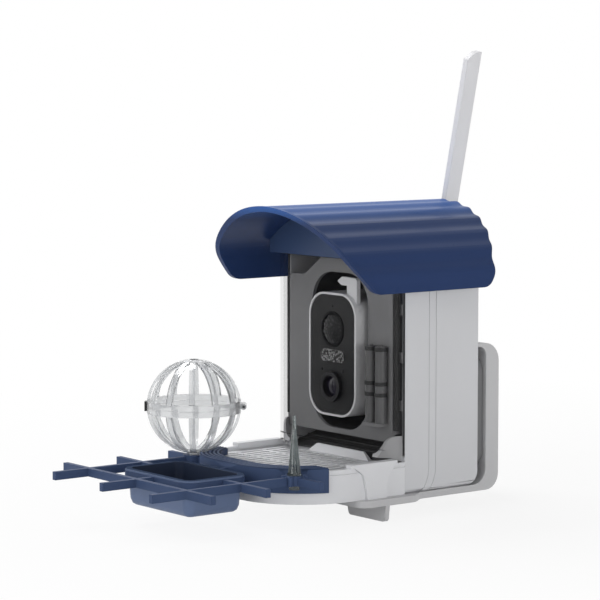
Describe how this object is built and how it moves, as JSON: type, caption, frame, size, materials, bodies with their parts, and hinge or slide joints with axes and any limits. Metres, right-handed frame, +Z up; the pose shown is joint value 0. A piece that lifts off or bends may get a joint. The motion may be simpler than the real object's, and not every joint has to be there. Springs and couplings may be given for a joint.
{
  "type": "smart bird feeder",
  "caption": "Wall-mounted bird feeder with a camera behind a smoked window, a corrugated blue vault roof, a seed tray and a clip-on blue perch frame carrying a basin, a spike and a feed ball.",
  "frame": {"origin": "middle of the wall plate's back face, where it meets the wall", "axes": "+Z up, +Y into the wall, the window and tray face -Y"},
  "size_m": [0.1899, 0.35, 0.3426],
  "materials": {
    "bracket": "fine matt texture",
    "housing": "fine matt texture",
    "inner_gray": "satin",
    "dark_cover": "matt",
    "black_plastic": "matt",
    "gloss_black": "polished",
    "camera_white": "satin",
    "sensor_lens": "milky, faceted inside",
    "light_window": "diffusing",
    "lens": "coated glass",
    "board": "varnished",
    "cells": "satin sleeve",
    "smoked": "tinted, polished",
    "clear_plastic": "clear, polished",
    "blue_roof": "satin",
    "blue_plastic": "satin",
    "antenna_gray": "fine matt texture",
    "screws": "zinc plated"
  },
  "bodies": {
    "feeder": {"wall_plate": "bracket", "mount_screws": "screws", "cradle_bracket": "bracket", "rear_cover": "dark_cover", "cover_screws": "screws", "side_clips": "black_plastic", "rear_shell": "housing", "seam_band": "housing", "front_shell": "housing", "hopper_floor": "inner_gray", "partition": "inner_gray", "camera_shroud": "black_plastic", "camera_shell": "camera_white", "camera_face": "gloss_black", "pir_lens": "sensor_lens", "spotlight_window": "light_window", "lens_ring": "gloss_black", "lens_glass": "lens", "circuit_board": "board", "camera_latch": "camera_white", "battery_cells": "cells", "battery_clip": "black_plastic", "smoked_window": "smoked", "seed_deflector": "housing", "seed_tray": "housing", "tray_grid": "housing", "tray_clip_left": "housing", "tray_clip_right": "housing", "roof_hinge_posts": "housing", "antenna_socket": "dark_cover"},
    "roof": {"roof_shell": "blue_roof", "roof_liner": "blue_roof", "roof_hinge_pin": "screws"},
    "antenna_arm": {"antenna_base": "antenna_gray", "antenna_pin": "antenna_gray"},
    "antenna": {"antenna_blade": "antenna_gray"},
    "perch": {"perch_frame": "blue_plastic", "cage_base": "clear_plastic", "cage_hinge_pin": "black_plastic", "cage_latch": "black_plastic"},
    "basin": {"water_basin": "blue_plastic"},
    "spike": {"fruit_spike": "clear_plastic"},
    "cage_top": {"cage_lid": "clear_plastic"}
  },
  "joints": [
    {"name": "roof_hinge", "type": "hinge", "parent": "feeder", "child": "roof", "pos_m": [0, -0.045, 0.1435], "axis": [-1, 0, 0], "range_deg": [0, 70]},
    {"name": "antenna_swivel", "type": "hinge", "parent": "feeder", "child": "antenna_arm", "pos_m": [-0.021, -0.03, 0.108], "axis": [0, 1, 0], "range_deg": [-103, 77]},
    {"name": "antenna_elbow", "type": "hinge", "parent": "antenna_arm", "child": "antenna", "pos_m": [-0.021, -0.0175, 0.108], "axis": [0.9744, 0, -0.225], "range_deg": [-90, 0]},
    {"name": "frame_lift", "type": "slide", "parent": "feeder", "child": "perch", "axis": [0, 0, 1], "range_m": [0, 0.04]},
    {"name": "basin_lift", "type": "slide", "parent": "perch", "child": "basin", "axis": [0, 0, 1], "range_m": [0, 0.06]},
    {"name": "spike_lift", "type": "slide", "parent": "perch", "child": "spike", "axis": [0, 0, 1], "range_m": [0, 0.045]},
    {"name": "cage_lid_hinge", "type": "hinge", "parent": "perch", "child": "cage_top", "pos_m": [-0.03847, -0.19653, 0.007], "axis": [-0.788, 0.6157, 0], "range_deg": [0, 95]}
  ]
}
